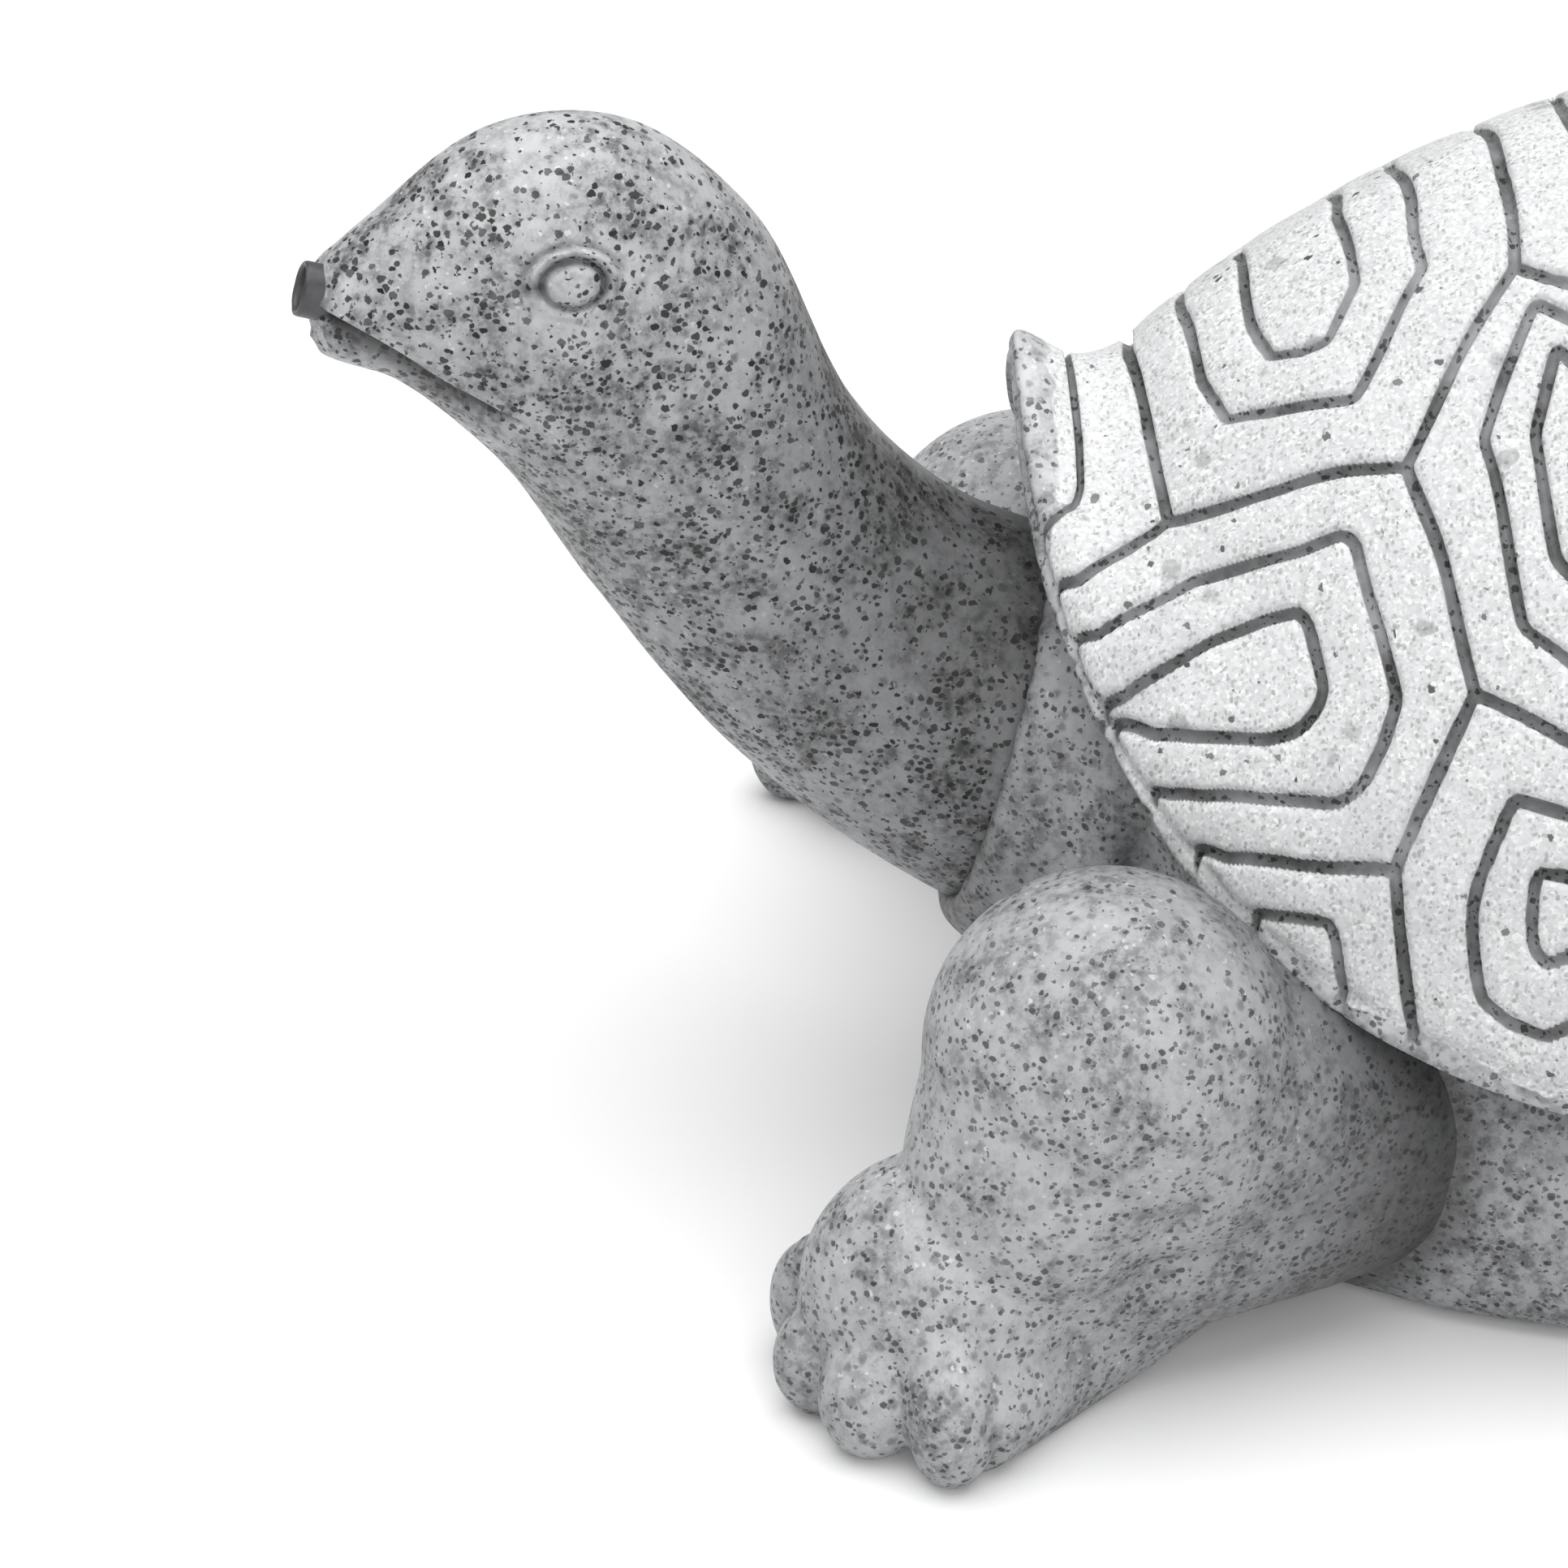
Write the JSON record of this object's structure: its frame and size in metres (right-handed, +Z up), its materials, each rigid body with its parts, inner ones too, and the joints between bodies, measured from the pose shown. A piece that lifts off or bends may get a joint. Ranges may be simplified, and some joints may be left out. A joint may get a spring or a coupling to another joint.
{
  "type": "turtle water spitter",
  "caption": "Granite-look turtle pond ornament with a carved dome shell, raised turned head and a water spout in its muzzle, fed by a hose from a barbed inlet at the back.",
  "frame": {"origin": "on the ground under the middle of the whole object's box", "axes": "+Z up, the head towards -Y and the tail towards +Y, the turtle's left side towards +X"},
  "size_m": [0.268, 0.4154, 0.197],
  "materials": {
    "sanded_granite": "sanded, pale, with flecks",
    "granite": "cast, satin, speckled",
    "dark_tube": "cut, worn",
    "hose_rubber": "matte",
    "clip_steel": "plain",
    "black_plastic": "moulded"
  },
  "bodies": {
    "root": {"carapace": "sanded_granite", "body": "granite", "head_neck": "granite", "front_left_leg": "granite", "front_right_leg": "granite", "rear_left_leg": "granite", "rear_right_leg": "granite", "tail": "granite", "spout_tube": "dark_tube", "water_hose": "hose_rubber", "hose_clip": "clip_steel", "hose_tail": "black_plastic", "inlet_washer": "hose_rubber", "inlet_lock_nut": "black_plastic"}
  },
  "joints": []
}
